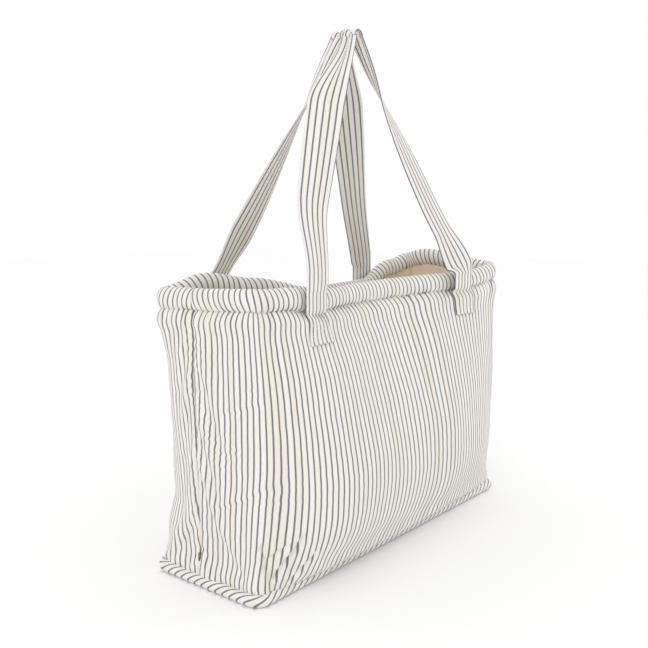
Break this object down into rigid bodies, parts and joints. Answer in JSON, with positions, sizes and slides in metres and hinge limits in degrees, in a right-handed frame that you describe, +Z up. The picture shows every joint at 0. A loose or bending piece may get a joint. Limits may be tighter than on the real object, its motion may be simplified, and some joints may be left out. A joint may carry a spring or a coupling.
{
  "type": "quilted tote bag",
  "caption": "Large padded cotton tote bag with fine stripes, an open top with a stuffed rim roll, piped base and two flat shoulder straps.",
  "frame": {"origin": "middle of the base, on the surface that the bag stands on", "axes": "+X along the long sides towards the right-hand end, -Y towards the front, +Z up towards the straps"},
  "size_m": [0.596, 0.2851, 0.7315],
  "materials": {
    "striped_cotton": "matt woven cotton, off-white with fine slate lines, quilted over wadding",
    "bias_cotton": "the same cotton cut on the bias, so its lines run aslant",
    "strap_cotton": "the same cotton folded into a flat strap, lines along its length",
    "wadding": "soft white fibre wadding",
    "lining_cotton": "plain beige cotton lining",
    "seam_thread": "off-white sewing thread",
    "label_leather": "small plain brown tab"
  },
  "bodies": {
    "bag": {"front_panel": "striped_cotton", "back_panel": "striped_cotton", "base_panel": "striped_cotton", "front_wadding": "wadding", "back_wadding": "wadding", "base_wadding": "wadding", "front_lining": "lining_cotton", "back_lining": "lining_cotton", "base_lining": "lining_cotton", "left_seam_allowance": "striped_cotton", "right_seam_allowance": "striped_cotton", "front_rim_cover": "striped_cotton", "back_rim_cover": "striped_cotton", "front_rim_filler": "wadding", "back_rim_filler": "wadding", "base_piping_cover": "bias_cotton", "base_piping_cord": "wadding", "front_left_strap_end": "strap_cotton", "front_right_strap_end": "strap_cotton", "back_left_strap_end": "strap_cotton", "back_right_strap_end": "strap_cotton", "front_left_box_stitch": "seam_thread", "front_right_box_stitch": "seam_thread", "back_left_box_stitch": "seam_thread", "back_right_box_stitch": "seam_thread", "seam_label": "label_leather"},
    "front_handle": {"front_strap": "strap_cotton"},
    "back_handle": {"back_strap": "strap_cotton"}
  },
  "joints": [
    {"name": "front_strap_swing", "type": "hinge", "parent": "bag", "child": "front_handle", "pos_m": [-0.0035, -0.101, 0.38], "axis": [1, 0, 0], "range_deg": [0, 160]},
    {"name": "back_strap_swing", "type": "hinge", "parent": "bag", "child": "back_handle", "pos_m": [-0.0035, 0.101, 0.38], "axis": [-1, 0, 0], "range_deg": [0, 160]}
  ]
}
